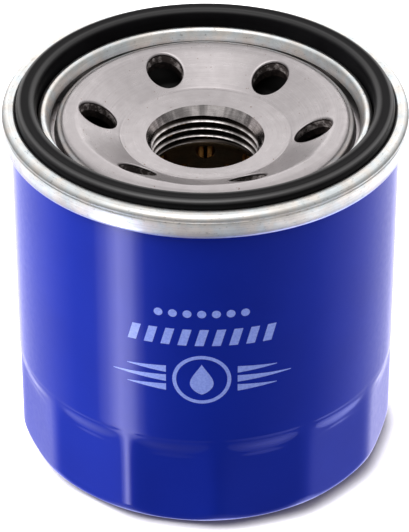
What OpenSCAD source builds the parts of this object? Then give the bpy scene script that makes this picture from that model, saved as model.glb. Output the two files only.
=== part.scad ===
// Spin-on engine oil filter, 70 mm over its rolled seam, with an M20 x 1.5 stud thread.
// It stands on the closed end of its can. The origin is the middle of the base, and +Z is the
// filter's axis, pointing out of the threaded end.

/* [Can] */
// Outside diameter of the can
can_d = 67; // [65:0.5:69]
// Height from the base to the top of the rolled seam
seam_top_z = 66.4; // [62:0.2:90]
// Sheet thickness of the can
can_t = 0.4; // [0.35:0.05:0.45]
// Radius of the bottom corner
corner_r = 3; // [2:0.25:4]
// Number of wrench flats round the lower band
flat_count = 13; // [12:1:15]
// Depth of a flat at its middle
flat_inset = 0.75; // [0.6:0.05:0.9]
// Turn of the first ridge about the axis, from +X
flat_turn = -86.1; // [-90:0.1:-60]
// Height at which the flats start to run out into the round body
flat_z = 15.4; // [12:0.2:18]
// Height over which the flats run out
flat_runout = 2.3; // [1.5:0.1:3]
// Height of the pressed-in panel in the base
panel_z = 1.2; // [0.8:0.1:1.6]
// Radius of the pressed-in panel
panel_r = 20; // [19:0.5:22]

/* [Lid and gasket] */
// Sheet thickness of the lid
lid_t = 0.45; // [0.4:0.05:0.5]
// Depth of the gasket groove below the seam's top
groove_depth = 4.35; // [4:0.05:4.6]
// Radius of the bead inside the gasket groove
bead_r = 28; // [27.9:0.05:28.1]
// Height of the gasket's face above the seam's top
gasket_stand = 1.4; // [1:0.1:2]
// Width of the gasket's face
gasket_face_w = 3.1; // [2.6:0.1:3.3]

/* [Tapping plate] */
// Wall radius of the plain hole that stands for the M20 x 1.5 thread
thread_r = 9.188; // [9.1:0.001:9.25]
// Length of the threaded wall, between its two chamfers
thread_length = 6; // [5:0.25:7]
// Thickness of the plate
plate_t = 3; // [2.8:0.1:3.2]
// Radius of the ring of inlet holes
inlet_pcr = 18.7; // [18.5:0.05:18.9]
// Radius of an inlet hole
inlet_r = 3.2; // [3:0.05:3.3]
// Number of inlet holes
inlet_count = 6; // [4:1:8]
// Turn of the first inlet hole about the axis, from +X
inlet_turn = -7.6; // [-30:0.1:30]

/* [Filter element] */
// Outer radius of the pleats
media_r = 28.6; // [27.5:0.1:28.7]
// Inner radius of the pleats
media_in_r = 12.2; // [12:0.1:13]
// Number of pleats
pleat_count = 52; // [40:1:56]
// Thickness of the filter paper
paper_t = 0.35; // [0.3:0.05:0.4]
// Inner radius of the centre tube
tube_in_r = 11.1; // [11.1:0.05:11.2]
// Rows of holes in the centre tube
tube_rows = 7; // [4:1:7]
// Radius of a hole in the centre tube
tube_hole_r = 1.7; // [1.2:0.1:1.8]

/* [Bypass valve] */
// Radius of the valve's port
port_r = 5.5; // [4.5:0.25:6]
// Free travel of the valve disc
bypass_travel = 3; // [2:0.5:4]

/* [Support spring] */
// Wire diameter of the support spring
support_wire = 1.8; // [1.4:0.1:2]
// Turns of the support spring
support_turns = 3.25; // [2.75:0.25:3.5]

/* [Hidden] */
$fn = 96;

fit = 0.05;                                  // clearance between pieces that rest on each other
can_r = can_d / 2;

// Rolled seam: lid wall, can wall, lid hook, can hook and lid outer wall, from inside to outside
chuck_r = can_r - can_t - fit / 2 - lid_t;   // inner face of the lid's wall, where the gasket sits
lid_hook_r = can_r + fit;
can_hook_r = lid_hook_r + lid_t + fit;
seam_r = can_hook_r + can_t + 2 * fit + lid_t;
can_curl = (can_hook_r - can_r) / 2;         // inside radius of the can's curl
can_curl_z = seam_top_z - 1.45;
seam_low_z = seam_top_z - 4.5;
lid_curl = (seam_r - lid_t - lid_hook_r) / 2;    // middle radius of the lid's curl
shoulder_r = 1.25;                           // outside radius of the seam's shoulder

// Tapping plate heights
groove_z = seam_top_z - groove_depth;        // floor of the gasket groove
plate_z = groove_z - lid_t - fit;            // top of the plate's flange, under the groove
plate_rim_r = can_r - 1;
land_z = plate_z - 1.8;                      // mouth of the threaded hole
mouth_r = thread_r + 1.05;
mouth_chamfer = 0.9;
tail_chamfer = 0.5;
collar_r = 12.5;
collar_z = land_z - mouth_chamfer - thread_length - tail_chamfer;
crown_r = 2.2;                               // radius of the plate's raised ring
crown_z = plate_z + 2.78;
crown_edge_r = 26;                           // outer side of the raised ring, clear of the lid's lip

// Filter element heights: its top face carries the drainback valve
cap_t = 0.4;
cap_rim = 3.5;
cap_in_r = tube_in_r - fit - cap_t;
cap_r = media_r + 0.9;
cap_bend = 0.6;
element_top_z = collar_z - 0.3;
element_low_z = 10;
potting_t = 1.2;
tube_t = 0.5;
tube_low_z = element_low_z + cap_t + fit;
tube_top_z = element_top_z - cap_t - fit;
media_low_z = tube_low_z + potting_t + fit;
media_h = tube_top_z - potting_t - fit - media_low_z;

// Bypass valve, on the lower end cap and inside the centre tube
seat_t = 0.5;
seat_lip = 0.35;
seal_t = 0.85;
seal_r = 7.7;
disc_t = 0.5;
stem_r = 1.4;
seat_z = tube_low_z;
seal_z = seat_z + seat_t + seat_lip + 2 * fit;
disc_z = seal_z + seal_t + fit;
cage_r = 9.8;
cage_t = 0.5;
cage_h = 13;
cage_z = seat_z + seat_t + fit;
cage_top_z = cage_z + cage_h;
bypass_wire = 0.9;

// Points of an arc about c, from angle a0 to a1
function arc(c, r, a0, a1, n = 8) =
    [for (i = [0:n]) c + r * [cos(a0 + (a1 - a0) * i / n), sin(a0 + (a1 - a0) * i / n)]];

function unit(v) = v / norm(v);

// Normal of a path at point i, to its left
function path_normal(p, i) =
    let (d = unit(p[min(i + 1, len(p) - 1)] - p[max(i - 1, 0)])) [-d.y, d.x];

// Outline of sheet metal of thickness t whose middle follows path p
function sheet(p, t) = concat(
    [for (i = [0:len(p) - 1]) p[i] + path_normal(p, i) * t / 2],
    [for (i = [len(p) - 1:-1:0]) p[i] - path_normal(p, i) * t / 2]);

function polar(r, a) = [r * cos(a), r * sin(a)];

// Height along a spring at turn s: flat end coils of half a turn, even pitch between
function coil_rise(s, turns) = min(max((s - 0.5) / (turns - 1), 0), 1);

// Centre of the wire at turn s
function coil_point(s, turns, r0, r1, z0, z1) =
    let (k = s / turns, p = polar(r0 + (r1 - r0) * k, 360 * s))
    [p.x, p.y, z0 + (z1 - z0) * coil_rise(s, turns)];

// Points round the wire at turn s
function coil_ring(c, s, wire, sides) =
    [for (j = [0:sides - 1]) let (q = polar(wire / 2, 360 * j / sides))
        c + [q.x * cos(360 * s), q.x * sin(360 * s), q.y]];

// A ring of revolution from an outline in the XZ plane
module ring(outline) rotate_extrude() polygon(outline);

// Coil spring standing between heights z0 and z1, with mean radius r0 below and r1 above
module coil(turns, wire, r0, r1, z0, z1, steps = 28, sides = 8) {
    count = round(turns * steps);
    rings = [for (i = [0:count]) let (s = turns * i / count)
        coil_ring(coil_point(s, turns, r0, r1, z0 + wire / 2, z1 - wire / 2), s, wire, sides)];
    points = [for (ring_points = rings) each ring_points];
    walls = [for (i = [0:count - 1], j = [0:sides - 1])
        let (a = i * sides, b = a + sides, k = (j + 1) % sides)
        each [[a + j, b + j, a + k], [a + k, b + j, b + k]]];
    ends = [[for (j = [0:sides - 1]) j], [for (j = [sides - 1:-1:0]) count * sides + j]];
    polyhedron(points, concat(walls, ends));
}

// Solid outside of the can, with its hook, or the space inside it
module can_blank(inset, hook) {
    low = concat([[0, panel_z + inset], [panel_r, panel_z + inset], [panel_r + 1.5, inset]],
        arc([can_r - corner_r, corner_r], corner_r - inset, -90, 0, 12));
    curl = [can_r + can_curl, can_curl_z];
    top = hook
        ? concat(arc(curl, can_curl, 180, 0), [[can_hook_r, seam_low_z + 1.2],
            [can_hook_r + can_t, seam_low_z + 1.2]],
            arc(curl, can_curl + can_t, 0, 180), [[0, can_curl_z]])
        : [[can_r - inset, seam_top_z], [0, seam_top_z]];
    ring(concat(low, top));
}

// Everything inside the wrench flats, with a conical run-out above them
module flat_envelope(inset) {
    flat_r = can_r - flat_inset - inset;
    slope = flat_inset / flat_runout;
    run = flat_runout + 2;
    rotate(flat_turn)
        translate([0, 0, -1])
            cylinder(h = flat_z + flat_runout + 1, r = flat_r / cos(180 / flat_count), $fn = flat_count);
    translate([0, 0, flat_z])
        cylinder(h = run, r1 = flat_r, r2 = flat_r + run * slope);
    translate([0, 0, flat_z + flat_runout])
        cylinder(h = seam_top_z, r = seam_r + 1);
}

// Pressed can: a fluted lower band, a round body and the hook that the seam is rolled over
module can() {
    color("mediumblue")
        difference() {
            intersection() {
                can_blank(0, true);
                flat_envelope(0);
            }
            intersection() {
                can_blank(can_t, false);
                flat_envelope(can_t);
            }
        }
}

// Lid: bead, gasket groove and rolled seam, one strip of sheet from its inner edge to its hook
module seam_lid() {
    half = lid_t / 2;
    bead = [bead_r, seam_top_z - 2.1];
    bead_out_r = bead_r + 0.55;
    floor_z = groove_z - half;
    bend = 0.4;
    wall_r = chuck_r + half;
    top_z = seam_top_z - half;
    outer_r = seam_r - half;
    shoulder = shoulder_r - half;
    curl = [lid_hook_r + half + lid_curl, seam_low_z + lid_curl + half];
    path = concat([[bead_r - 1.5, seam_top_z - 3.45]],
        arc(bead, 0.55, 155, 0),
        arc([bead_out_r + bend, floor_z + bend], bend, 180, 270, 4),
        arc([wall_r - bend, floor_z + bend], bend, 270, 360, 4),
        arc([wall_r + bend, top_z - bend], bend, 180, 90, 4),
        arc([outer_r - shoulder, top_z - shoulder], shoulder, 90, 0),
        arc(curl, lid_curl, 0, -180),
        [[curl.x - lid_curl, can_curl_z - 0.35]]);
    color("gainsboro") ring(sheet(path, lid_t));
}

// Sealing compound between the can's curl and the lid's shoulder
module seam_sealant() {
    gap = 0.03;
    color("darkgoldenrod")
        ring(concat(
            arc([seam_r - shoulder_r, seam_top_z - shoulder_r], shoulder_r - lid_t - gap, 105, 50),
            arc([can_r + can_curl, can_curl_z], can_curl + can_t + gap, 60, 105)));
}

// Square-cut rubber gasket, chamfered on its inner side
module gasket() {
    out_r = chuck_r - fit;
    in_r = bead_r + 0.55 + lid_t / 2 + fit;
    low_z = groove_z + fit;
    top_z = seam_top_z + gasket_stand;
    edge = 1;
    color("#161618")
        ring(concat([[in_r, low_z], [out_r, low_z]],
            arc([out_r - edge, top_z - edge], edge, 0, 90, 5),
            arc([out_r - gasket_face_w + edge, top_z - edge], edge, 90, 160, 5),
            [[in_r, low_z + 2.2]]));
}

// Outline of the tapping plate: threaded collar, dished face, raised ring and outer flange
function plate_outline() =
    let (inner_crown = [22.8, crown_z - crown_r], outer_crown = [crown_edge_r - crown_r, crown_z - crown_r],
        under_z = plate_z - plate_t)
    concat(
        [[thread_r, collar_z + tail_chamfer], [thread_r + tail_chamfer, collar_z],
            [collar_r, collar_z], [collar_r, under_z - 1.7], [15.6, under_z - 1.1],
            [22, under_z + 2.5], [23, under_z + 2.7], [24.4, under_z + 2.6],
            [26.2, under_z + 0.5], [27.3, under_z], [plate_rim_r - 0.4, under_z],
            [plate_rim_r, under_z + 0.4], [plate_rim_r, plate_z - 0.3], [plate_rim_r - 0.3, plate_z],
            [crown_edge_r, plate_z]],
        arc(outer_crown, crown_r, 0, 90, 8),
        arc(inner_crown, crown_r, 90, 116.6, 3),
        [[14.6, land_z + 0.75], [mouth_r, land_z], [thread_r, land_z - mouth_chamfer]]);

// Thick plate that carries the stud thread and the inlet holes
module tapping_plate() {
    color("silver")
        difference() {
            ring(plate_outline());
            for (i = [0:inlet_count - 1])
                rotate(inlet_turn + 360 * i / inlet_count)
                    translate([inlet_pcr, 0, collar_z])
                        cylinder(h = seam_top_z - collar_z, r = inlet_r);
        }
}

// Drainback valve: a rubber diaphragm whose hub is clamped round the plate's collar
module drainback_hub() {
    in_r = collar_r + fit;
    low_z = element_top_z + 2 * fit;
    web_z = low_z + 3.1;
    color("#242220")
        ring([[in_r, low_z], [15, low_z], [15, web_z], [17.05, web_z + 0.45],
            [17.05, web_z + 1.25], [15, web_z + 0.8], [in_r, web_z + 0.9]]);
}

// Drainback valve: the part of the diaphragm that bends, with its sealing lip
module drainback_lip() {
    web_z = element_top_z + 2 * fit + 3.9;
    tip_z = plate_z - plate_t + 2.7 - 0.1;
    path = [[17.2, web_z + 0.1], [21.5, web_z + 0.35], [22.3, web_z + 1.1], [22.7, web_z + 2.6],
        [23.2, tip_z - 0.1]];
    color("#2c2926") ring(sheet(path, 0.8));
}

// Outline of an end cap's middle, from its inner edge to its rim, with the rim down
function cap_path(inner_r, collar, z) =
    let (mid_r = cap_r - cap_t / 2, top = z - cap_t / 2)
    concat(
        collar > 0
            ? concat([[inner_r + cap_t / 2, z - collar]],
                arc([inner_r + cap_t / 2 + cap_bend, top - cap_bend], cap_bend, 180, 90, 4))
            : [[inner_r, top]],
        arc([mid_r - cap_bend, top - cap_bend], cap_bend, 90, 0, 4),
        [[mid_r, z - cap_rim]]);

// Upper end cap: its collar goes down inside the centre tube
module upper_end_cap() {
    color("#c9c4b4") ring(sheet(cap_path(cap_in_r, 1.2, element_top_z), cap_t));
}

// Lower end cap: the upper one turned over, open for the bypass valve
module lower_end_cap() {
    color("#c9c4b4")
        translate([0, 0, element_low_z])
            mirror([0, 0, 1])
                ring(sheet(cap_path(seal_r, 0, 0), cap_t));
}

// Adhesive that bonds the pleats' ends to an end cap
module potting(z) {
    in_r = tube_in_r + tube_t + fit;
    out_r = cap_r - cap_t - fit;
    ring([[in_r, z], [out_r - cap_bend, z], [out_r, z + cap_bend], [out_r, z + potting_t],
        [in_r, z + potting_t]]);
}

module lower_potting() {
    color("#8f8a78") potting(tube_low_z);
}

module upper_potting() {
    color("#8f8a78")
        translate([0, 0, tube_top_z])
            mirror([0, 0, 1])
                potting(0);
}

// One side of the folded paper: each pleat is half_out wide at its tip and half_in at its root
function pleat_line(tip_r, half_out, root_r, half_in) =
    [for (k = [0:pleat_count - 1])
        let (a = 360 * k / pleat_count, h = 180 / pleat_count,
            w = half_out / tip_r * 180 / PI, v = half_in / root_r * 180 / PI)
        each [polar(tip_r, a - w), polar(tip_r, a + w), polar(root_r, a + h - v),
            polar(root_r, a + h + v)]];

// Pleated filter paper, folded in a closed star round the centre tube
module pleated_media() {
    tight = 0.1;                             // half of the gap inside a fold
    color("burlywood")
        translate([0, 0, media_low_z])
            linear_extrude(media_h)
                difference() {
                    polygon(pleat_line(media_r, tight + paper_t, media_in_r + paper_t, tight));
                    polygon(pleat_line(media_r - paper_t, tight, media_in_r, tight + paper_t));
                }
}

// Steel clip that joins the two ends of the folded paper, over one pleat
module media_clip() {
    half = 0.75;
    t = 0.25;
    depth = 3.2;
    end = 2.6;                               // distance from the media's end to the clip's
    color("darkgray")
        translate([0, 0, media_low_z + end])
            linear_extrude(media_h - 2 * end)
                polygon([[media_r + t - depth, half], [media_r + fit, half], [media_r + fit, -half],
                    [media_r + t - depth, -half], [media_r + t - depth, -half - t],
                    [media_r + fit + t, -half - t], [media_r + fit + t, half + t],
                    [media_r + t - depth, half + t]]);
}

// Perforated tube that the paper is folded round
module centre_tube() {
    row_step = (tube_top_z - cage_top_z) / tube_rows;
    edge = 0.35;                             // bevel that clears the upper end cap's bend
    color("#d8d3c0")
        difference() {
            ring([[tube_in_r, tube_low_z], [tube_in_r + tube_t, tube_low_z],
                [tube_in_r + tube_t, tube_top_z], [tube_in_r + edge, tube_top_z],
                [tube_in_r, tube_top_z - edge]]);
            for (row = [0:tube_rows - 1], i = [0:7])
                rotate(45 * i + 22.5 * (row % 2))
                    translate([0, 0, cage_top_z + row_step * (row + 0.47)])
                        rotate([0, 90, 0])
                            cylinder(h = media_in_r, r = tube_hole_r);
        }
}

// Valve seat: a pressed ring with a raised lip round the port
module bypass_seat() {
    out_r = tube_in_r - fit;
    color("#b8bcc0")
        ring([[port_r, seat_z], [out_r, seat_z], [out_r, seat_z + seat_t],
            [port_r + 1.4, seat_z + seat_t], [port_r + 0.8, seat_z + seat_t + seat_lip],
            [port_r, seat_z + seat_t + seat_lip]]);
}

// Rubber washer under the valve disc
module bypass_seal() {
    color("#2b2b2d")
        ring([[stem_r + fit, seal_z], [seal_r, seal_z], [seal_r, seal_z + seal_t],
            [stem_r + fit, seal_z + seal_t]]);
}

// Valve disc with its skirt round the washer and its guide stem
module bypass_poppet() {
    skirt_r = seal_r + fit;
    stem_top_z = cage_top_z + 1;
    color("#c2c4c8")
        ring([[0, seal_z], [stem_r, seal_z], [stem_r, disc_z], [skirt_r, disc_z],
            [skirt_r, disc_z - 0.5], [skirt_r + disc_t, disc_z - 0.5],
            [skirt_r + disc_t, disc_z + disc_t - 0.2], [skirt_r + disc_t - 0.2, disc_z + disc_t],
            [stem_r, disc_z + disc_t], [stem_r, stem_top_z - 0.4], [stem_r - 0.4, stem_top_z],
            [0, stem_top_z]]);
}

module bypass_spring() {
    color("#9a9da1")
        coil(5, bypass_wire, 5, 5, disc_z + disc_t + fit, cage_top_z - cage_t - fit, 24);
}

// Cage over the valve: it guides the stem, holds the spring and lets the oil through its windows
module bypass_cage() {
    flange_r = tube_in_r - fit;
    in_r = cage_r - cage_t;
    guide_r = stem_r + 0.3;
    top = cage_top_z;
    window_w = 7;
    window_h = cage_h - 5;
    color("#b8bcc0")
        difference() {
            ring([[in_r, cage_z], [flange_r, cage_z], [flange_r, cage_z + cage_t],
                [cage_r, cage_z + cage_t], [cage_r, top - 0.8], [cage_r - 0.8, top],
                [guide_r, top], [guide_r, top - cage_t], [in_r - 0.6, top - cage_t],
                [in_r, top - cage_t - 0.6]]);
            for (i = [0:3])
                rotate(90 * i)
                    translate([4, -window_w / 2, cage_z + 2.5])
                        cube([cage_r, window_w, window_h]);
        }
}

// Conical spring that presses the element up against the drainback valve
module support_spring() {
    color("#8f9296")
        coil(support_turns, support_wire, 17.5, 12, panel_z + can_t + fit, element_low_z - fit);
}

can();
seam_lid();
seam_sealant();
gasket();
tapping_plate();
drainback_hub();
drainback_lip();
upper_end_cap();
upper_potting();
pleated_media();
media_clip();
centre_tube();
lower_potting();
lower_end_cap();
bypass_seat();
bypass_seal();
bypass_poppet();
bypass_spring();
bypass_cage();
support_spring();
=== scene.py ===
import math

import bmesh
import bpy
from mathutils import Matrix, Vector


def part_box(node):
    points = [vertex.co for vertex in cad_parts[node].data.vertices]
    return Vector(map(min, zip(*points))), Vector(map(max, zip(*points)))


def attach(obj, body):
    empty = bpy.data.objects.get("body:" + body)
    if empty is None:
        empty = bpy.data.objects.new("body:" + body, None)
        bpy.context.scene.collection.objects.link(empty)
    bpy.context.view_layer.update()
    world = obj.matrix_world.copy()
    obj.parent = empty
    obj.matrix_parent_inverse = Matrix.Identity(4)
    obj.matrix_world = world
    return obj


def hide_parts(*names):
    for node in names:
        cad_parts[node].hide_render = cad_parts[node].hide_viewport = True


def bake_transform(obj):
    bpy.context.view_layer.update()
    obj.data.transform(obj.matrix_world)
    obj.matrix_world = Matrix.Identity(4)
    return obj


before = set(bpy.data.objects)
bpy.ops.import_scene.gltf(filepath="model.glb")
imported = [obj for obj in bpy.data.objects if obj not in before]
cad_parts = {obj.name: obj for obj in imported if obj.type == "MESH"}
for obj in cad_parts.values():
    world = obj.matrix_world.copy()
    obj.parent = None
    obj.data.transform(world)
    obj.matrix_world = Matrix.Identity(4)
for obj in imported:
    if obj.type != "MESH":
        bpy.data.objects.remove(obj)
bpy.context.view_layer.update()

# Spin-on oil filter: detailed pieces round its CAD frame. Outlines are (radius, height) pairs in
# millimetres. +Z is the filter's axis, out of its threaded end, and -Y faces the camera.
MM = 0.001
TAU = 2 * math.pi


def low(node, axis=2):
    """Where a CAD node starts along an axis, in millimetres."""
    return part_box(node)[0][axis] / MM


def high(node, axis=2):
    """Where a CAD node ends along an axis, in millimetres."""
    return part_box(node)[1][axis] / MM


# Sizes shared with the CAD model
fit = 0.05                                 # clearance between pieces that rest on each other
can_t = 0.4                                # sheet of the can
lid_t = 0.45                               # sheet of the lid
corner_r = 3.0                             # bottom corner of the can
flat_count = 13
flat_inset = 0.75
flat_turn = math.radians(-86.1)            # first ridge between two flats, from +X
flat_top = 15.4                            # where the flats start to run out
flat_runout = 3.4                          # height over which they run out
panel_z = 1.2                              # pressed-in panel of the base
panel_r = 20.0
seam_h = 4.5                               # height of the rolled seam
groove_depth = 4.35                        # gasket groove, below the seam's top
bead_r = 28.0                              # bead inside the gasket groove
bead_bend = 0.55                           # middle radius of the bead's bend
gasket_face = 3.5                          # width of the gasket's face
plate_t = 3.0                              # thickness of the tapping plate
plate_drop = 1.8                           # from its flange down to the thread's mouth
crown_bend = 2.2                           # radius of its raised ring
crown_edge_r = 25.85                       # outer side of the raised ring
collar_r = 12.5                            # collar round the thread
hole_count = 6                             # inlet holes
hole_r = 3.2
hole_pcr = 18.7                            # radius of the ring of holes
hole_turn = math.radians(-7.6)             # first hole, from +X
pitch = 1.5                                # M20 x 1.5 thread
thread_r = 9.188                           # its crests
root_r = 10.0                              # its roots
mouth_wide = 1.05                          # chamfer of its mouth
mouth_deep = 1.9
tail_chamfer = 0.5                         # chamfer of its other end
pleat_count = 52
pleat_in_r = 12.2
paper_t = 0.35
support_wire = 1.8                         # support spring: wire, turns, and radius of each end
support_turns = 3.25
support_low_r = 17.5
support_high_r = 12.0
bypass_wire = 0.9                          # bypass spring
bypass_turns = 5
bypass_r = 5.0

# Sizes measured on the frame
seam_top = high("seam_lid")
seam_r = high("seam_lid", 0)
groove_z = seam_top - groove_depth
seam_low = seam_top - seam_h
gasket_top = high("gasket")
gasket_r = high("gasket", 0)
chuck_r = gasket_r + fit
can_r = chuck_r + lid_t + fit / 2 + can_t
plate_z = groove_z - lid_t - fit
plate_r = high("tapping_plate", 0)
crown_z = high("tapping_plate")
collar_z = low("tapping_plate")
land_z = plate_z - plate_drop


# ------------------------------------------------------------------ outlines
def arc(x, z, radius, start, end, steps=8):
    """Points of an arc about (x, z), from one angle to another, in degrees."""
    angles = [math.radians(start + (end - start) * i / steps) for i in range(steps + 1)]
    return [(x + radius * math.cos(a), z + radius * math.sin(a)) for a in angles]


def rounded(points, reach, closed=True, steps=4):
    """The outline with its corners curved. A third number on a point is that corner's own reach."""
    result = []
    for i, point in enumerate(points):
        corner = Vector(point[:2])
        own = point[2] if len(point) > 2 else reach
        if own <= 0 or (not closed and i in (0, len(points) - 1)):
            result.append(tuple(corner))
            continue
        before = Vector(points[i - 1][:2]) - corner
        after = Vector(points[(i + 1) % len(points)][:2]) - corner
        own = min(own, before.length * 0.48, after.length * 0.48)
        start = corner + before.normalized() * own
        end = corner + after.normalized() * own
        for k in range(steps + 1):
            t = k / steps
            result.append(tuple(start * (1 - t) ** 2 + corner * (2 * t * (1 - t)) + end * t ** 2))
    return result


def sheet(path, thickness):
    """Outline of sheet metal whose middle follows the path."""
    left, right = [], []
    for i, point in enumerate(path):
        ahead = Vector(path[min(i + 1, len(path) - 1)]) - Vector(path[max(i - 1, 0)])
        across = Vector((-ahead.y, ahead.x)).normalized() * thickness / 2
        left.append(tuple(Vector(point) + across))
        right.append(tuple(Vector(point) - across))
    return left + right[::-1]


def height_on(outline, radius):
    """Height of an open outline, given from its inside to its outside, at a radius."""
    for (r0, z0), (r1, z1) in zip(outline, outline[1:]):
        if r0 <= radius <= r1 and r1 > r0:
            return z0 + (z1 - z0) * (radius - r0) / (r1 - r0)
    return outline[0][1] if radius < outline[0][0] else outline[-1][1]


def soft_min(a, b, blend):
    """The smaller of two values, with the change between them rounded off."""
    return (a + b - math.hypot(a - b, blend)) / 2


def soft_max(a, b, blend):
    """The larger of two values, with the change between them rounded off."""
    return (a + b + math.hypot(a - b, blend)) / 2


# ------------------------------------------------------------------ meshes
def circle(radius, z, columns, turn=0.0):
    """Points round the axis."""
    angles = [turn + TAU * i / columns for i in range(columns)]
    return [(radius * math.cos(a), radius * math.sin(a), z) for a in angles]


def loft(mesh, rings, closed_ring=True, closed_loft=False, material=0):
    """Joins rings of points, in millimetres, by quads."""
    rows = [[mesh.verts.new(Vector(p) * MM) for p in ring] for ring in rings]
    if closed_loft:
        rows.append(rows[0])
    count = len(rows[0])
    for lower, upper in zip(rows, rows[1:]):
        for i in range(count if closed_ring else count - 1):
            k = (i + 1) % count
            face = mesh.faces.new((lower[i], lower[k], upper[k], upper[i]))
            face.material_index = material


def lathe(mesh, outline, columns, closed=True, turn=0.0, material=0):
    """Turns an outline about the axis."""
    rings = [circle(r, z, columns, turn) for r, z in outline]
    loft(mesh, rings, closed_loft=closed, material=material)


def sweep(mesh, path, radius, sides=16):
    """A round wire along a path of points, with rounded ends."""
    nose = ((0.35, 0.0), (0.33, 0.45), (0.22, 0.8), (0.08, 0.97))  # (reach, width), in wire radii
    tangents = [(Vector(path[min(i + 1, len(path) - 1)]) - Vector(path[max(i - 1, 0)])).normalized()
                for i in range(len(path))]
    stations = [(Vector(path[0]) - tangents[0] * radius * reach, tangents[0], width) for reach, width in nose]
    stations += [(Vector(p), t, 1.0) for p, t in zip(path, tangents)]
    stations += [(Vector(path[-1]) + tangents[-1] * radius * reach, tangents[-1], width)
                 for reach, width in nose[::-1]]
    rings = []
    for centre, tangent, scale in stations:
        side = tangent.cross(Vector((0, 0, 1))).normalized()
        up = side.cross(tangent)
        rings.append([centre + (side * math.cos(a) + up * math.sin(a)) * radius * scale
                      for a in (TAU * j / sides for j in range(sides))])
    loft(mesh, rings)


def piece(name, mesh, materials, body=None, replaces=(), sharp=40):
    """Makes the object: merged, outward-facing, smooth, on its body and with its finish.

    Edges sharper than a number of degrees stay sharp."""
    bmesh.ops.remove_doubles(mesh, verts=mesh.verts, dist=0.0002 * MM)
    bmesh.ops.recalc_face_normals(mesh, faces=mesh.faces)
    data = bpy.data.meshes.new(name)
    mesh.to_mesh(data)
    mesh.free()
    data.polygons.foreach_set("use_smooth", [True] * len(data.polygons))
    data.set_sharp_from_angle(angle=math.radians(sharp))
    for material in materials:
        data.materials.append(material)
    made = bpy.data.objects.new(name, data)
    bpy.context.scene.collection.objects.link(made)
    modifier = made.modifiers.new("even_normals", "WEIGHTED_NORMAL")
    modifier.keep_sharp = True
    if body:
        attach(made, body)
    if replaces:
        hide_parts(*replaces)
    return made


# ------------------------------------------------------------------ materials
def add_node(tree, kind, settings=None, **inputs):
    """A node of a kind, with its settings, and its inputs linked or set. _0 means input 0."""
    node = tree.nodes.new(kind)
    for key, value in (settings or {}).items():
        setattr(node, key, value)
    for key, value in inputs.items():
        socket = node.inputs[int(key[1:])] if key[1:].isdigit() else node.inputs[key.replace("_", " ")]
        if isinstance(value, bpy.types.NodeSocket):
            tree.links.new(value, socket)
        else:
            socket.default_value = value
    return node


def set_stops(node, stops):
    """Gives a colour ramp its stops, each a place and a colour."""
    elements = node.color_ramp.elements
    while len(elements) < len(stops):
        elements.new(1.0)
    for element, (place, colour) in zip(elements, stops):
        element.position = place
        element.color = (*colour, 1.0)


class Finish:
    """A material under construction. Its coordinates are the object's own, in metres."""

    def __init__(self, name, **inputs):
        self.material = bpy.data.materials.new(name)
        self.material.use_nodes = True
        self.tree = self.material.node_tree
        self.shader = self.tree.nodes["Principled BSDF"]
        for key, value in inputs.items():
            self.shader.inputs[key.replace("_", " ")].default_value = value
        self.coords = self.add("ShaderNodeTexCoord").outputs["Object"]

    def add(self, kind, settings=None, **inputs):
        return add_node(self.tree, kind, settings, **inputs)

    def math(self, operation, a, b=0.0, clamp=False):
        settings = {"operation": operation, "use_clamp": clamp}
        return self.add("ShaderNodeMath", settings, _0=a, _1=b).outputs[0]

    def noise(self, scale, detail=3.0, roughness=0.55, vector=None):
        node = self.add("ShaderNodeTexNoise", Vector=vector or self.coords, Scale=scale,
                        Detail=detail, Roughness=roughness)
        return node.outputs["Fac"]

    def ramp(self, value, *stops):
        """A colour ramp. Each stop is a place and a grey value or a colour."""
        node = self.add("ShaderNodeValToRGB", Fac=value)
        set_stops(node, [(place, (colour,) * 3 if isinstance(colour, (int, float)) else colour)
                         for place, colour in stops])
        return node.outputs["Color"]

    def mix(self, factor, a, b, blend="MIX"):
        settings = {"data_type": "RGBA", "blend_type": blend}
        node = self.add("ShaderNodeMix", settings, _0=factor, _6=a, _7=b)
        return node.outputs[2]

    def turned(self, along=1.0, across=1.0, lift=1.0):
        """Angle, radius and height, each times a factor, for marks that run round the axis."""
        parts = self.add("ShaderNodeSeparateXYZ", Vector=self.coords)
        x, y, z = parts.outputs
        radius = self.math("SQRT", self.math("ADD", self.math("MULTIPLY", x, x), self.math("MULTIPLY", y, y)))
        angle = self.math("ARCTAN2", y, x)
        return self.add("ShaderNodeCombineXYZ", X=self.math("MULTIPLY", angle, along),
                        Y=self.math("MULTIPLY", radius, across),
                        Z=self.math("MULTIPLY", z, lift)).outputs[0]

    def bump(self, height, distance, strength=1.0):
        """Adds a bump, a distance in metres high, to those already there."""
        node = self.add("ShaderNodeBump", Height=height, Distance=distance, Strength=strength)
        normal = self.shader.inputs["Normal"]
        if normal.links:
            self.tree.links.new(normal.links[0].from_socket, node.inputs["Normal"])
        self.tree.links.new(node.outputs[0], normal)

    def set(self, **sockets):
        """Links outputs to the shader's inputs."""
        for key, socket in sockets.items():
            self.tree.links.new(socket, self.shader.inputs[key.replace("_", " ")])


def can_paint_finish():
    """Glossy blue enamel on the pressed can, with a faint orange peel."""
    f = Finish("can_paint", Metallic=0.1, IOR=1.2, Coat_Weight=0.6, Coat_Roughness=0.05)
    cloud = f.noise(60, 4)
    f.set(Base_Color=f.ramp(cloud, (0.3, (0.0018, 0.0155, 0.28)), (0.7, (0.0026, 0.019, 0.32))),
          Roughness=f.ramp(f.noise(900, 2), (0.3, 0.32), (0.7, 0.38)))
    f.bump(f.noise(700, 2, 0.4), 0.000002)
    return f.material


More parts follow.
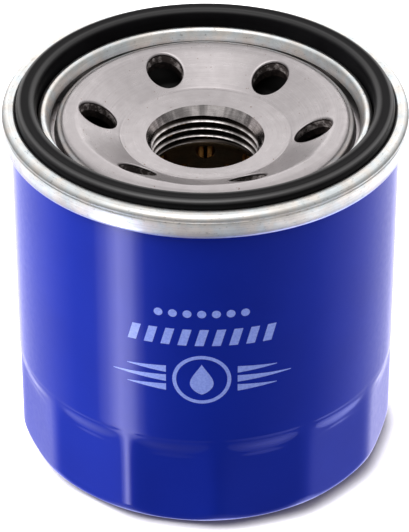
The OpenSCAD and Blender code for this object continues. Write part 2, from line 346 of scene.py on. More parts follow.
def ink_finish():
    """Pale blue-white printing ink."""
    f = Finish("print_ink", Metallic=0.0, Coat_Weight=0.6, Coat_Roughness=0.1)
    f.set(Base_Color=f.ramp(f.noise(2500, 4), (0.35, (0.22, 0.30, 0.78)), (0.65, (0.30, 0.40, 0.88))),
          Roughness=f.ramp(f.noise(1200, 2), (0.3, 0.35), (0.7, 0.5)))
    f.bump(f.noise(5000, 2), 0.000003)
    return f.material


def sheet_metal_finish(name, dark, light, rough):
    """Plated sheet with rolling marks round the axis, a faint mottle, tarnish and scuffs."""
    f = Finish(name, Metallic=1.0)
    streaks = f.noise(1.0, 4, 0.6, f.turned(3.0, 5000, 5000))
    mottle = f.noise(350, 5, 0.6)
    tone = f.math("MULTIPLY", f.math("ADD", streaks, mottle), 0.5)
    tarnish = f.ramp(f.noise(300, 3, 0.6), (0.38, (1.0, 0.96, 0.90)), (0.62, (0.91, 0.98, 1.0)))
    scuffs = f.ramp(f.noise(1.0, 3, 0.6, f.turned(40.0, 2600, 2600)), (0.60, 1.0), (0.72, 0.62))
    clean = f.ramp(tone, (0.35, dark), (0.65, light))
    f.set(Base_Color=f.mix(1.0, f.mix(1.0, clean, tarnish, "MULTIPLY"), scuffs, "MULTIPLY"),
          Roughness=f.ramp(tone, (0.3, rough + 0.07), (0.7, rough - 0.05)))
    f.bump(streaks, 0.000012)
    f.bump(mottle, 0.000006)
    return f.material


def rubber_finish(name, base, rough):
    """Moulded rubber: nearly black, dusty in places, with a fine grain."""
    f = Finish(name, Metallic=0.0, IOR=1.4, Specular_IOR_Level=0.3)
    grain = f.noise(6000, 3)
    film = f.noise(120, 4)
    tint = f.ramp(film, (0.35, base), (0.75, tuple(c * 1.7 for c in base)))
    f.set(Base_Color=tint, Roughness=f.ramp(film, (0.3, rough), (0.75, rough + 0.12)))
    f.bump(grain, 0.00001)
    f.bump(f.noise(1.0, 3, 0.5, f.turned(2.0, 2500, 2500)), 0.000015)
    return f.material


def gasket_finish():
    """Moulded rubber: a matt sealing face between smoother, glossier edges."""
    f = Finish("gasket_rubber", Metallic=0.0, IOR=1.8)
    film = f.noise(120, 4)
    radius = f.add("ShaderNodeSeparateXYZ", Vector=f.turned()).outputs[1]
    across = f.math("DIVIDE", f.math("SUBTRACT", radius, (gasket_r - gasket_face) * MM), gasket_face * MM)
    face = f.ramp(across, (0.22, 0.36), (0.38, 0.62), (0.68, 0.62), (0.86, 0.3))
    shine = f.ramp(across, (0.02, 0.05), (0.12, 0.22), (0.26, 0.22), (0.38, 0.05), (0.70, 0.05), (0.86, 0.6))
    height = f.add("ShaderNodeSeparateXYZ", Vector=f.coords).outputs[2]
    top = f.ramp(f.math("SUBTRACT", f.math("DIVIDE", height, MM), gasket_top - 1.0), (0.2, 0.06), (0.8, 1.0))
    f.set(Base_Color=f.ramp(film, (0.35, (0.0026, 0.0025, 0.0028)), (0.75, (0.0045, 0.0044, 0.0048))),
          Roughness=f.math("ADD", face, f.math("MULTIPLY", film, 0.08)),
          Specular_IOR_Level=f.math("MULTIPLY", shine, top))
    f.bump(f.noise(6000, 3), 0.00001)
    f.bump(f.noise(1.0, 3, 0.5, f.turned(2.0, 2500, 2500)), 0.000012)
    return f.material


def punched_finish(name, dark, light):
    """Steel on the wall of a punched hole, in patches. Burnished steel at the top; made near-black, it is the
    painted shade on the hole's rim and its torn lower part.
    """
    f = Finish(name, Metallic=0.55)
    patches = f.noise(900, 4, 0.65)
    f.set(Base_Color=f.ramp(patches, (0.48, dark), (0.66, light)),
          Roughness=f.ramp(patches, (0.3, 0.65), (0.7, 0.45)))
    f.bump(patches, 0.00003)
    return f.material


def paper_finish():
    """Resin-treated filter paper: amber, fibrous and slightly translucent."""
    f = Finish("filter_paper", Metallic=0.0, Roughness=0.8)
    fibres = f.noise(2600, 6, 0.7)
    blotch = f.noise(220, 4)
    tone = f.math("ADD", f.math("MULTIPLY", fibres, 0.6), f.math("MULTIPLY", blotch, 0.4))
    f.set(Base_Color=f.ramp(tone, (0.35, (0.46, 0.20, 0.045)), (0.65, (0.70, 0.36, 0.09))))
    f.bump(fibres, 0.00005)
    return f.material


def adhesive_finish():
    """Cured plastisol that holds the pleats: grey-brown with small bubbles."""
    f = Finish("adhesive", Metallic=0.0, Coat_Weight=0.2)
    bubbles = f.add("ShaderNodeTexVoronoi", Vector=f.coords, Scale=900.0).outputs["Distance"]
    cloud = f.noise(400, 4)
    f.set(Base_Color=f.ramp(cloud, (0.3, (0.16, 0.14, 0.11)), (0.7, (0.27, 0.25, 0.20))),
          Roughness=f.ramp(cloud, (0.3, 0.35), (0.7, 0.6)))
    f.bump(bubbles, 0.00004)
    return f.material


def plate_finish():
    """Thick pressed steel with a thin plating: pinkish grey, with fine drawing marks and specks."""
    f = Finish("plate_steel", Metallic=1.0)
    streaks = f.noise(1.0, 4, 0.6, f.turned(2.0, 6000, 3000))
    mottle = f.noise(500, 5, 0.6)
    tone = f.math("MULTIPLY", f.math("ADD", streaks, mottle), 0.5)
    base = f.ramp(tone, (0.35, (0.40, 0.375, 0.38)), (0.65, (0.48, 0.455, 0.46)))
    specks = f.ramp(f.noise(1700, 2, 0.5), (0.72, 0.0), (0.76, 1.0))
    f.set(Base_Color=f.mix(specks, base, (0.16, 0.09, 0.05, 1.0)),
          Roughness=f.ramp(tone, (0.3, 0.34), (0.7, 0.25)))
    f.bump(streaks, 0.000012)
    f.bump(mottle, 0.000008)
    return f.material


def thread_finish():
    """Freshly cut steel of the thread, bright, with painted glints in broad patches and painted shade
    darkening its roots.
    """
    f = Finish("thread_steel", Metallic=1.0)
    streaks = f.noise(1.0, 3, 0.6, f.turned(4.0, 9000, 9000))
    bright = f.ramp(streaks, (0.3, (0.62, 0.58, 0.57)), (0.7, (0.94, 0.89, 0.88)))
    # Painted highlight: broad patches of the steel's colour are brightened as glints.
    glints = f.ramp(f.noise(1.0, 2, 0.6, f.turned(4.5, 150, 100)), (0.40, 0.38), (0.60, 1.0))
    bright = f.mix(1.0, bright, glints, "MULTIPLY")
    angle, radius, height = f.add("ShaderNodeSeparateXYZ", Vector=f.turned()).outputs
    # Painted shade: deeper than the crests the colour falls to near black, except on the mouth's chamfer.
    depth = f.math("DIVIDE", f.math("SUBTRACT", radius, thread_r * MM), (root_r - thread_r) * MM)
    root = f.ramp(depth, (0.10, 0.0), (0.50, 1.0))
    below = f.math("LESS_THAN", height, (land_z - mouth_deep + 0.2) * MM)
    f.set(Base_Color=f.mix(f.math("MULTIPLY", root, below), bright, (0.03, 0.025, 0.022, 1.0)),
          Roughness=f.ramp(streaks, (0.3, 0.22), (0.7, 0.12)))
    f.bump(streaks, 0.000008)
    return f.material


paint = can_paint_finish()
ink = ink_finish()
zinc = sheet_metal_finish("zinc_sheet", (0.68, 0.68, 0.68), (0.92, 0.92, 0.92), 0.32)
gasket_rubber = gasket_finish()
punched_steel = punched_finish("punched_steel", (0.05, 0.04, 0.038), (0.42, 0.38, 0.37))
# Near-black steel, painted shade in the holes: on their rim and their lower walls.
painted_hole_shade_steel = punched_finish("painted_hole_shade_steel", (0.006, 0.004, 0.004), (0.03, 0.022, 0.02))
plate_steel = plate_finish()
thread_steel = thread_finish()
valve_rubber = rubber_finish("valve_rubber", (0.004, 0.004, 0.004), 0.4)
# Tin darkened to dark brown: painted shade for the inside of the element.
shade_darkened_tin = sheet_metal_finish("tin_sheet", (0.20, 0.15, 0.10), (0.34, 0.26, 0.18), 0.4)
valve_steel = sheet_metal_finish("valve_steel", (0.46, 0.47, 0.48), (0.66, 0.67, 0.68), 0.3)
spring_steel = sheet_metal_finish("spring_steel", (0.30, 0.30, 0.31), (0.48, 0.48, 0.49), 0.3)
adhesive = adhesive_finish()
paper = paper_finish()
sealant = rubber_finish("sealing_compound", (0.20, 0.13, 0.04), 0.5)


# ------------------------------------------------------------------ the can
def flat_limit(z, angle, inset):
    """Radius inside the wrench flats and their run-out, which swells from the flats to the wall."""
    crease = 0.3
    step = TAU / flat_count
    off = (angle - flat_turn) % step - step / 2
    apothem = can_r - flat_inset - inset
    rise = min(max((z - flat_top) / flat_runout, 0.0), 1.0)
    run_out = apothem + flat_inset * rise * rise * (3 - 2 * rise)
    clear = max(z - flat_top - flat_runout, 0.0)
    below = max(flat_top - z, 0.0)
    return soft_max(apothem / math.cos(off), run_out + clear - 0.6 * below, crease)


def make_can():
    """Pressed shell: base panel, corner, wrench flats, round wall and the hook inside the seam."""
    columns = flat_count * 32
    curl_r = fit + lid_t / 2               # the can's edge curls over the lid's hook
    curl_x, curl_z = can_r + curl_r, seam_top - 1.45
    hook_r = curl_x + curl_r
    hook_z = seam_low + 1.2
    step_w = 2.2                           # slope between the panel and the base's rim
    ridge = 0.2                            # softness of the ridges between flats

    def wall(inset):
        base = rounded([(0, panel_z + inset), (panel_r, panel_z + inset, 1.4),
                        (panel_r + step_w, inset, 1.4), (can_r - corner_r, inset)], 0, closed=False)
        corner = arc(can_r - corner_r, corner_r, corner_r - inset, -90, 0, 12)
        lower_rows = [4 + 1.5 * i for i in range(7)]
        runout_rows = [13.5 + 0.25 * i for i in range(25)]
        upper_rows = [20 + 5 * i for i in range(9)]
        side = [(can_r - inset, z) for z in lower_rows + runout_rows + upper_rows]
        return base[:-1] + corner + side

    def ring(r, z, inset):
        points = []
        for i in range(columns):
            angle = flat_turn + TAU * i / columns
            own = soft_min(r, flat_limit(z, angle, inset), ridge) if r > panel_r + 2 else r
            points.append((own * math.cos(angle), own * math.sin(angle), z))
        return points

    mesh = bmesh.new()
    rings = [ring(r, z, 0) for r, z in wall(0)]
    hook = (arc(curl_x, curl_z, curl_r, 180, 0) + [(hook_r, hook_z), (hook_r + can_t, hook_z)]
            + arc(curl_x, curl_z, curl_r + can_t, 0, 180))
    rings += [circle(r, z, columns, flat_turn) for r, z in hook]
    rings += [ring(r, z, can_t) for r, z in reversed(wall(can_t))]
    loft(mesh, rings)
    piece("can_shell", mesh, [paint], "housing", ["can"])


# ------------------------------------------------------------------ lid and gasket
def make_lid():
    """Rolled seam, gasket groove and inner bead, all one strip of plated sheet."""
    half = lid_t / 2
    bead_out = bead_r + bead_bend
    floor = groove_z - half
    bend = 0.4                             # bends of the groove and of the seam's inner edge
    wall = chuck_r + half
    top = seam_top - half
    outer = seam_r - half
    shoulder = 1.25 - half                 # bend of the seam's outer edge
    hook = can_r + fit
    curl = (seam_r - lid_t - hook) / 2
    curl_x, curl_z = hook + half + curl, seam_low + curl + half
    path = ([(bead_r - 1.1, seam_top - 3.45), (bead_r - 0.85, seam_top - 2.65)]
            + arc(bead_r, seam_top - 2.1, bead_bend, 155, 0, 14)
            + arc(bead_out + bend, floor + bend, bend, 180, 270, 6)
            + arc(wall - bend, floor + bend, bend, 270, 360, 6)
            + arc(wall + bend, top - bend, bend, 180, 90, 8)
            + arc(outer - shoulder, top - shoulder, shoulder, 90, 14, 12)
            + [(outer - 0.20, seam_top - 1.22), (outer - 0.24, seam_top - 1.32)]
            + [(outer - 0.15, seam_top - 1.42), (outer - 0.10, seam_top - 1.56)]
            + [(outer - 0.06, seam_top - 2.2), (outer, seam_top - 3.1)]
            + arc(curl_x, curl_z, curl, 0, -180, 10)
            + [(curl_x - curl, seam_top - 1.8)])
    mesh = bmesh.new()
    lathe(mesh, sheet(path, lid_t), 288)
    piece("rolled_seam_lid", mesh, [zinc], "housing", ["seam_lid"])


def make_gasket():
    """Moulded rubber ring with rounded edges and a face that dips a little in its middle."""
    face_in = gasket_r - gasket_face
    inner = bead_r + bead_bend + lid_t / 2 + fit
    base = groove_z + fit
    crest = gasket_top + 0.03
    outline = rounded([(inner, base, 0.15), (gasket_r, base, 0.2), (gasket_r, crest - 1.3, 1.2),
                       (gasket_r - 0.25, crest - 0.35, 0.5), (gasket_r - 0.95, crest, 0.6),
                       ((gasket_r + face_in) / 2, crest - 0.1, 0.6), (face_in + 0.85, crest, 0.6),
                       (face_in + 0.15, crest - 0.4, 0.5), (face_in - 0.15, crest - 1.3, 0.8),
                       (inner + 0.12, base + 2.2, 0.9)], 0.2, steps=8)
    mesh = bmesh.new()
    lathe(mesh, outline, 240)
    piece("sealing_gasket", mesh, [gasket_rubber], "housing", ["gasket"])


# ------------------------------------------------------------------ tapping plate
def thread_radius(z, angle):
    """Radius of the thread's wall, with its mouth and tail chamfers."""
    crest_share, flank_share = 0.14, 0.62  # of half a pitch; the rest is the flat of the root
    fade_z, fade = land_z - 1.5, 0.3       # the thread dies out under its mouth
    phase = (z / pitch - angle / TAU + 0.5) % 1.0
    rise = abs(phase - 0.5) * 2            # 0 in the middle of the root, 1 at the crest
    depth = min(max((1 - crest_share - rise) / flank_share, 0.0), 1.0)
    depth *= min(max((fade_z - z) / fade, 0.0), 1.0)
    cut = thread_r + (root_r - thread_r) * depth
    mouth = thread_r + (z - (land_z - mouth_deep)) * mouth_wide / mouth_deep
    tail = thread_r + (collar_z + tail_chamfer - z)
    return max(cut, mouth, tail, thread_r)


def plate_faces():
    """Top and underside of the plate, from the inside to the outside."""
    under = plate_z - plate_t
    crown_in_r = 22.8                      # inner side of the raised ring
    land = [(thread_r + mouth_wide, land_z), (14.2, land_z + 0.66)]
    crease = [(14.4, land_z + 0.58), (14.65, land_z + 0.60), (14.9, land_z + 0.80)]
    crown = (arc(crown_in_r, crown_z - crown_bend, crown_bend, 116.6, 90, 8)
             + arc(crown_edge_r - crown_bend, crown_z - crown_bend, crown_bend, 90, 0, 16))
    flange = [(crown_edge_r + 0.02, plate_z + 0.2), (crown_edge_r + 0.2, plate_z), (plate_r - 0.3, plate_z)]
    bottom = [(collar_r, under - 1.7), (15.6, under - 1.1), (22, under + 2.5), (23, under + 2.7),
              (24.4, under + 2.6), (26.2, under + 0.5), (27.3, under), (plate_r - 0.4, under)]
    return land + crease + crown + flange, rounded(bottom, 0.6, closed=False)


def turn_plate(mesh, top, bottom, inner_r, outer_r, columns, start):
    """The plain turned parts of the plate, on both sides of the ring that holds the holes."""
    under = plate_z - plate_t
    over = [(outer_r, height_on(top, outer_r))] + [p for p in top if p[0] > outer_r + 0.02]
    rim = [(plate_r, plate_z - 0.3), (plate_r, under + 0.4), (plate_r - 0.4, under)]
    back = [p for p in reversed(bottom) if p[0] > outer_r + 0.02][1:]
    back.append((outer_r, height_on(bottom, outer_r)))
    lathe(mesh, over + rim + back, columns, closed=False, turn=start)
    inward = ([(inner_r, height_on(bottom, inner_r))]
              + [p for p in reversed(bottom) if p[0] < inner_r - 0.02]
              + [(collar_r, collar_z + 0.3), (collar_r - 0.3, collar_z)])
    lathe(mesh, inward, columns, closed=False, turn=start)
    outward = [p for p in top if p[0] < inner_r - 0.02] + [(inner_r, height_on(top, inner_r))]
    lathe(mesh, outward, columns, closed=False, turn=start)


def cut_thread(mesh, columns, start):
    """Rows that climb one pitch in a turn, held between the collar's end and the mouth."""
    phases = [0.0, 0.06, 0.2, 0.37, 0.44, 0.5, 0.56, 0.63, 0.8, 0.94]
    turns = int((land_z - collar_z) / pitch) + 4
    first = math.floor(collar_z / pitch) - 1
    rows = []
    for k in range(turns * len(phases)):
        row = []
        for i in range(columns + 1):
            angle = start + TAU * i / columns
            z = (first + k // len(phases) + phases[k % len(phases)] + (angle - start) / TAU - 1) * pitch
            z = min(max(z, collar_z), land_z)
            r = thread_radius(z, angle - start)
            row.append((r * math.cos(angle), r * math.sin(angle), z))
        rows.append(row)
    loft(mesh, rows, closed_ring=False, material=1)
    end = circle(collar_r - 0.3, collar_z, columns, start)
    loft(mesh, [end + end[:1], rows[0]], closed_ring=False)


def punch_hole(mesh, top, bottom, inner_r, outer_r, middle, per_arc, per_side):
    """A patch of sheet round a hole, from the top face through the hole to the underside."""
    half = math.pi / hole_count
    edge = [(outer_r, middle - half + 2 * half * i / per_arc) for i in range(per_arc)]
    edge += [(outer_r + (inner_r - outer_r) * i / per_side, middle + half) for i in range(per_side)]
    edge += [(inner_r, middle + half - 2 * half * i / per_arc) for i in range(per_arc)]
    edge += [(inner_r + (outer_r - inner_r) * i / per_side, middle - half) for i in range(per_side)]
    edge = [(r * math.cos(a), r * math.sin(a)) for r, a in edge]
    cx, cy = hole_pcr * math.cos(middle), hole_pcr * math.sin(middle)
    count = len(edge)
    corner = middle - TAU * per_arc / count / 2
    around = [corner + TAU * i / count for i in range(count)]

    def ring(radius, share=0.0, face=top, drop=0.0):
        """Points a share of the way from the hole to the patch's edge."""
        points = []
        for (x, y), a in zip(edge, around):
            hx, hy = cx + radius * math.cos(a), cy + radius * math.sin(a)
            px, py = hx + (x - hx) * share, hy + (y - hy) * share
            points.append((px, py, height_on(face, math.hypot(px, py)) + drop))
        return points

    roll = 0.28                            # the punch rounds the top edge over
    cut_depth = 1.5                        # clean cut, above the torn part, which is painted near-black as shade
    burr = 0.12                            # height of the burr underneath
    rings = [ring(hole_r + roll, share) for share in (1.0, 0.75, 0.5, 0.3, 0.14, 0.05)]
    for k in range(5):
        a = math.radians(22.5 * k)
        rings.append(ring(hole_r + roll * (1 - math.sin(a)), drop=-roll * (1 - math.cos(a))))
    loft(mesh, rings)
    lip = ring(hole_r - 0.02, drop=-roll - 0.22)
    torn = ring(hole_r - 0.03, drop=-roll - cut_depth)
    # Near-black strips, painted shade: round the rolled rim, and on the torn lower wall and burr.
    loft(mesh, [rings[-1], lip], material=3)
    loft(mesh, [lip, torn], material=2)
    loft(mesh, [torn, ring(hole_r, face=bottom, drop=burr), ring(hole_r + burr, face=bottom)], material=3)
    loft(mesh, [ring(hole_r + burr, share, bottom) for share in (0.0, 0.1, 0.3, 0.6, 1.0)])


def make_plate():
    """Tapping plate: cut thread, dished face with punched holes, raised ring and outer flange."""
    top, bottom = plate_faces()
    inner_r, outer_r = 15.0, 22.4          # the ring that holds the holes
    per_arc, per_side = 32, 12
    columns = hole_count * per_arc
    start = hole_turn - math.pi / hole_count
    mesh = bmesh.new()
    turn_plate(mesh, top, bottom, inner_r, outer_r, columns, start)
    cut_thread(mesh, columns, start)
    for hole in range(hole_count):
        middle = hole_turn + TAU * hole / hole_count
        punch_hole(mesh, top, bottom, inner_r, outer_r, middle, per_arc, per_side)
    piece("tapping_plate_cut", mesh, [plate_steel, thread_steel, punched_steel, painted_hole_shade_steel],
          "housing", ["tapping_plate"], sharp=38)


# ------------------------------------------------------------------ inside
def make_drainback():
    """Rubber diaphragm: hub on the plate's collar, web and the lip that seals under the plate."""
    hub_low = low("drainback_hub")
    hub_in = collar_r + fit
    web = hub_low + 3.1
    lip_top = high("drainback_lip")
    lip_r = high("drainback_lip", 0)
    outline = rounded([
        (hub_in, hub_low, 0.3), (15.0, hub_low, 0.4), (15.0, web - 0.1, 0.5), (17.2, web + 0.4, 0.4),
        (21.4, web + 0.75, 0.5), (22.6, web + 1.6, 0.5), (23.0, web + 3.2, 0.5),
        (lip_r, lip_top - 0.2, 0.12), (lip_r - 0.55, lip_top - 0.05, 0.15),
        (22.2, web + 3.4, 0.5), (21.9, web + 2.1, 0.5), (21.1, web + 1.55, 0.4),
        (17.2, web + 1.3, 0.4), (15.0, web + 0.8, 0.4), (hub_in, web + 0.9, 0.3)], 0.2)
    mesh = bmesh.new()
    lathe(mesh, outline, 192)
    made = piece("drainback_diaphragm", mesh, [valve_rubber],
                 replaces=["drainback_hub", "drainback_lip"])
    made.modifiers.clear()
    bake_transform(made)


def pleat_line(outer_r):
    """Middle line of the folded paper: round folds outside and inside, joined by flat sides."""
    fold = paper_t / 2 + 0.1
    tip_r = outer_r - paper_t / 2 - fold
    root_r = pleat_in_r + paper_t / 2 + fold
    line = []
    for k in range(pleat_count):
        tip = TAU * k / pleat_count
        root = tip + math.pi / pleat_count
        line += [(r, t, tip) for r, t in arc(tip_r, 0, fold, -90, 90, 6)]
        line += [(2 * root_r - r, t, root) for r, t in arc(root_r, 0, fold, -90, 90, 4)]
    return [Vector((r * math.cos(a) - t * math.sin(a), r * math.sin(a) + t * math.cos(a)))
            for r, t, a in line]


def make_media():
    """Pleated paper with rounded folds."""
    line = pleat_line(high("pleated_media", 0))
    faces = []
    for side in (1, -1):
        face = []
        for i, point in enumerate(line):
            ahead = (line[(i + 1) % len(line)] - line[i - 1]).normalized()
            face.append(point + Vector((ahead.y, -ahead.x)) * side * paper_t / 2)
        faces.append(face)
    z0, z1 = low("pleated_media"), high("pleated_media")
    rings = [[(p.x, p.y, z) for p in face] for face, z in
             ((faces[0], z0), (faces[0], z1), (faces[1], z1), (faces[1], z0))]
    mesh = bmesh.new()
    loft(mesh, rings, closed_loft=True)
    piece("pleated_paper", mesh, [paper], "element", ["pleated_media"], sharp=50)


def spring_path(turns, wire, r0, r1, z0, z1, per_turn=40):
    """Middle of a spring's wire, with flat end coils of half a turn."""
    path = []
    for i in range(round(turns * per_turn) + 1):
        s = i / per_turn
        climb = min(max((s - 0.5) / (turns - 1), 0.0), 1.0)
        climb = climb * climb * (3 - 2 * climb) * 0.25 + climb * 0.75
        r = r0 + (r1 - r0) * s / turns
        z = z0 + wire / 2 + (z1 - z0 - wire) * climb
        path.append((r * math.cos(TAU * s), r * math.sin(TAU * s), z))
    return path


def make_spring(name, node, turns, wire, r0, r1):
    """A fixed coil from the bottom to the top of its CAD node, between the parts under it and on top of it.
    """
    bottom, top = low(node), high(node)
    mesh = bmesh.new()
    sweep(mesh, spring_path(turns, wire, r0, r1, bottom, top), wire / 2)
    made = piece(name, mesh, [spring_steel], replaces=[node], sharp=60)
    made.modifiers.clear()
    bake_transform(made)


# ------------------------------------------------------------------ printing on the can
def print_patch(mesh, first, second, across=1, closed=False):
    """A thin film of ink between two edges, given as (distance round the can, height) points."""
    proud, sunk = 0.03, 0.02               # the film's two faces, out of the can's wall and into it
    layers = []
    for r in (can_r - sunk, can_r + proud):
        rows = []
        for k in range(across + 1):
            share = k / across
            row = [(u0 + (u1 - u0) * share, z0 + (z1 - z0) * share)
                   for (u0, z0), (u1, z1) in zip(first, second)]
            rows.append([(r * math.sin(u / can_r), -r * math.cos(u / can_r), z) for u, z in row])
        layers.append(rows)
    under, over = layers
    loop = over + under[::-1]
    loft(mesh, loop, closed_ring=closed, closed_loft=True)
    if not closed:
        for end in (0, -1):
            corners = [mesh.verts.new(Vector(row[end]) * MM) for row in loop]
            mesh.faces.new(corners)


def print_dots(mesh, centre):
    """Seven dots in a row."""
    dot_z, dot_r, gap = 45.9, 0.75, 2.45
    half_turn = [math.pi * j / 12 for j in range(13)]
    for k in range(-3, 4):
        u = centre + k * gap
        upper = [(u - dot_r * math.cos(a), dot_z + dot_r * math.sin(a)) for a in half_turn]
        lower = [(u - dot_r * math.cos(a), dot_z - dot_r * math.sin(a)) for a in half_turn]
        print_patch(mesh, lower, upper)


def print_blocks(mesh, centre):
    """Nine slanted blocks in a row."""
    block_low, block_high, gap, width, slant = 39.4, 42.7, 2.9, 1.5, 0.9
    for k in range(-4, 5):
        u = centre + k * gap - width / 2 - slant / 2
        lower = [(u, block_low), (u + width / 2, block_low), (u + width, block_low)]
        upper = [(x + slant, block_high) for x, z in lower]
        print_patch(mesh, lower, upper, across=2)


def print_emblem(mesh, centre):
    """An oil drop in a ring, with three tapered bars on each side."""
    ring_z, ring_out, ring_in = 32.3, 5.0, 4.35
    whole_turn = [TAU * j / 56 for j in range(56)]
    outer = [(centre + ring_out * math.cos(a), ring_z + ring_out * math.sin(a)) for a in whole_turn]
    inner = [(centre + ring_in * math.cos(a), ring_z + ring_in * math.sin(a)) for a in whole_turn]
    print_patch(mesh, inner, outer, closed=True)

    drop_r, drop_low, drop_tip = 2.0, ring_z - 3.1, ring_z + 3.2
    left, right = [], []
    for j in range(25):
        t = j / 24
        z = drop_low + (drop_tip - drop_low) * t
        width = drop_r * math.sin(math.pi * (1 - t) ** 1.5) ** 0.75 if 0 < t < 1 else 0.0
        left.append((centre - width, z))
        right.append((centre + width, z))
    print_patch(mesh, left, right, across=6)

    bar_start, bar_gap, bar_half, bar_tip = 6.1, 1.9, 0.62, 0.05
    for side in (-1, 1):
        for row, reach in ((1, 13.0), (0, 15.6), (-1, 13.0)):
            bar_z = ring_z + row * bar_gap
            steps = [bar_start + (reach - bar_start) * j / 12 for j in range(13)]
            taper = [bar_half * (1 - j / 12) + bar_tip for j in range(13)]
            upper = [(centre + side * u, bar_z + w) for u, w in zip(steps, taper)]
            lower = [(centre + side * u, bar_z - w) for u, w in zip(steps, taper)]
            print_patch(mesh, lower, upper)


def make_print():
    """Generic printed marks on the front of the can."""
    centre = -0.6
    mesh = bmesh.new()
    print_dots(mesh, centre)
    print_blocks(mesh, centre)
    print_emblem(mesh, centre)
    piece("printed_marks", mesh, [ink], "housing")


def finish_cad_nodes():
    """Materials for the nodes that are shown as the CAD has them."""
    finishes = {
        "seam_sealant": sealant, "upper_end_cap": shade_darkened_tin, "lower_end_cap": shade_darkened_tin, "upper_potting": adhesive,
        "lower_potting": adhesive, "media_clip": valve_steel, "centre_tube": shade_darkened_tin,
        "bypass_seat": valve_steel, "bypass_seal": valve_rubber, "bypass_poppet": valve_steel,
        "bypass_cage": valve_steel}
    for node, finish in finishes.items():
        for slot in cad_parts[node].material_slots:
            slot.material = finish


# ------------------------------------------------------------------ build
make_can()
make_lid()
make_gasket()
make_plate()
make_drainback()
make_media()
make_spring("support_coil", "support_spring", support_turns, support_wire,
            support_low_r, support_high_r)
make_spring("bypass_coil", "bypass_spring", bypass_turns, bypass_wire,
            bypass_r, bypass_r)
make_print()
finish_cad_nodes()


# ------------------------------------------------------------------ studio
def make_floor():
    """A white sheet with a painted contact shadow: occlusion darkens its colour and glow, leaning away from
    behind and to the left.
    """
    mesh = bmesh.new()
    bmesh.ops.create_grid(mesh, x_segments=1, y_segments=1, size=1.5)
    data = bpy.data.meshes.new("studio_floor")
    mesh.to_mesh(data)
    mesh.free()
    floor = bpy.data.objects.new("studio_floor", data)
    bpy.context.scene.collection.objects.link(floor)
    f = Finish("studio_white", Roughness=0.6, Emission_Strength=0.3)
    # Painted shadow: ambient occlusion, tilted towards behind and left, darkens the floor's colour and its
    # glow near the can.
    from_behind_left = f.add("ShaderNodeCombineXYZ", X=-0.5, Y=0.6, Z=0.62).outputs["Vector"]
    contact = f.add("ShaderNodeAmbientOcclusion", Distance=0.004, Normal=from_behind_left).outputs["AO"]
    tone = f.ramp(contact, (0.30, (0.13, 0.12, 0.14)), (0.72, (0.97, 0.96, 0.98)))
    f.set(Base_Color=tone, Emission_Color=tone)
    data.materials.append(f.material)
    floor.visible_glossy = False
    floor.visible_diffuse = False
    floor.visible_shadow = False


def make_light(name, place, power):
    """A square softbox, aimed at the filter, that reflections don't see."""
    aim = Vector((0, 0, 0.04))
    data = bpy.data.lights.new(name, "AREA")
    data.shape = "SQUARE"
    data.size = 0.35
    data.energy = power
    light = bpy.data.objects.new(name, data)
    light.location = place
    light.visible_glossy = False
    light.rotation_euler = (aim - Vector(place)).to_track_quat("-Z", "Y").to_euler()
    bpy.context.scene.collection.objects.link(light)


# Brightness of the tent's zones, from the lowest to the highest, as (degrees round the axis from
# the camera, brightness) pairs. The slot is what the upright wall of the can reflects.
neutral = (1.0, 0.98, 0.98)
peak = 8.0
ground_stops = [(-180, 1.6), (-120, 1.2), (-70, 0.7), (-30, 0.3), (20, 0.3), (60, 0.9), (90, 1.5), (180, 1.6)]
slot_stops = [(-180, 2.2), (-165, 1.3), (-149, 0.75), (-139, 0.62), (-124, 0.5), (-112, 0.42),
              (-102, 0.3), (-86, 0.12), (-70, 0.14), (-62, 1.3), (-53, 4.1), (-46, 2.9), (-41, 0.9),
              (-36, 0.06), (0, 0.03), (70, 0.05), (83, 0.16), (101, 0.28), (112, 0.36), (123, 0.5),
              (138, 0.62), (148, 0.72), (165, 1.2), (180, 2.0)]
middle_stops = [(-180, 1.4), (-100, 2.2), (-60, 2.3), (-25, 1.2), (25, 1.1), (55, 2.5), (110, 2.7),
                (180, 1.5)]
horizon_stops = [(-180, 1.1), (-160, 0.9), (-140, 0.3), (-110, 0.2), (110, 0.2), (140, 0.3),
                 (160, 0.9), (180, 1.1)]
side_stops = [(-180, 1.4), (-160, 1.7), (-145, 0.9), (-110, 0.5), (-30, 0.5), (45, 0.5), (110, 0.5),
              (145, 0.9), (160, 1.7), (180, 1.4)]
high_stops = [(-180, 1.15), (-160, 1.4), (-110, 0.7), (-60, 0.8), (-30, 0.5), (45, 0.5), (80, 0.7),
              (140, 1.3), (160, 1.5), (180, 1.15)]


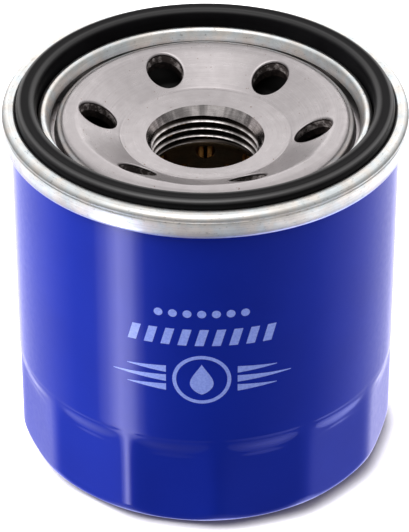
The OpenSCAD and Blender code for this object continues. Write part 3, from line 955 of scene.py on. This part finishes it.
def make_world():
    """Soft white tent. Reflections see a dark front and brighter sides, as in a product booth."""
    world = bpy.data.worlds.new("studio_tent")
    bpy.context.scene.world = world
    world.use_nodes = True
    tree = world.node_tree
    tree.nodes.clear()

    direction = add_node(tree, "ShaderNodeTexCoord").outputs["Generated"]
    x, y, z = add_node(tree, "ShaderNodeSeparateXYZ", Vector=direction).outputs
    front = add_node(tree, "ShaderNodeMath", {"operation": "MULTIPLY"}, _0=y, _1=-1.0).outputs[0]
    azimuth = add_node(tree, "ShaderNodeMath", {"operation": "ARCTAN2"}, _0=x, _1=front).outputs[0]
    place = add_node(tree, "ShaderNodeMath", {"operation": "MULTIPLY_ADD"}, _0=azimuth, _1=1 / TAU,
                     _2=0.5).outputs[0]

    def zone(stops, tint=neutral):
        """The tent's light all round, in one zone."""
        node = add_node(tree, "ShaderNodeValToRGB", Fac=place)
        set_stops(node, [(degrees / 360 + 0.5, [bright * t / peak for t in tint])
                         for degrees, bright in stops])
        return node.outputs["Color"]

    def even(bright):
        """A zone that is the same all round."""
        return tuple(bright * t / peak for t in neutral) + (1.0,)

    def above(start, end, below, over, height=z):
        """One part of the tent over another, blended between two heights."""
        edge = add_node(tree, "ShaderNodeMapRange", {"interpolation_type": "SMOOTHSTEP"}, Value=height,
                        From_Min=start, From_Max=end)
        return add_node(tree, "ShaderNodeMix", {"data_type": "RGBA"}, _0=edge.outputs[0], _6=below,
                        _7=over).outputs[2]

    ground = zone(ground_stops, (0.75, 0.8, 1.5))
    tent = above(-0.72, -0.69, ground, zone(slot_stops, (1.5, 1.46, 2.0)))
    tent = above(-0.535, -0.495, tent, zone(middle_stops))
    tent = above(-0.42, -0.34, tent, zone(horizon_stops))
    tent = above(0.02, 0.12, tent, zone(side_stops))
    tent = above(0.40, 0.52, tent, zone(high_stops))
    tent = above(0.66, 0.78, tent, even(1.0))
    roof = add_node(tree, "ShaderNodeVectorMath", {"operation": "DOT_PRODUCT"}, _0=direction,
                    _1=(-0.10, -0.38, 0.92)).outputs["Value"]
    tent = above(0.86, 0.92, tent, even(2.1), roof)
    gloss = add_node(tree, "ShaderNodeBackground", Color=tent, Strength=peak).outputs[0]
    white = add_node(tree, "ShaderNodeBackground", Color=(1.0, 1.0, 1.0, 1.0), Strength=1.0).outputs[0]
    seen = add_node(tree, "ShaderNodeLightPath").outputs["Is Camera Ray"]
    both = add_node(tree, "ShaderNodeMixShader", _0=seen, _1=gloss, _2=white).outputs[0]
    add_node(tree, "ShaderNodeOutputWorld", Surface=both)


def make_camera():
    """The view: 35 degrees above the horizon, from a little over half a metre."""
    elevation = math.radians(34.88)
    distance = 0.5516
    target = Vector((0, 0, 0.0324))
    data = bpy.data.cameras.new("camera")
    data.sensor_width = 36.0
    data.lens = 210.05
    data.shift_x = -0.0015
    data.clip_end = 10.0
    camera = bpy.data.objects.new("camera", data)
    camera.location = target + distance * Vector((0, -math.cos(elevation), math.sin(elevation)))
    camera.rotation_euler = (target - camera.location).to_track_quat("-Z", "Y").to_euler()
    bpy.context.scene.collection.objects.link(camera)
    bpy.context.scene.camera = camera


make_floor()
make_world()
make_light("key_softbox", (-0.50, -0.05, 0.38), 4.6)
make_light("left_fill", (-0.48, 0.10, 0.20), 1.9)
make_light("right_fill", (0.48, 0.13, 0.20), 2.9)
make_camera()
bpy.context.scene.view_settings.view_transform = "Standard"
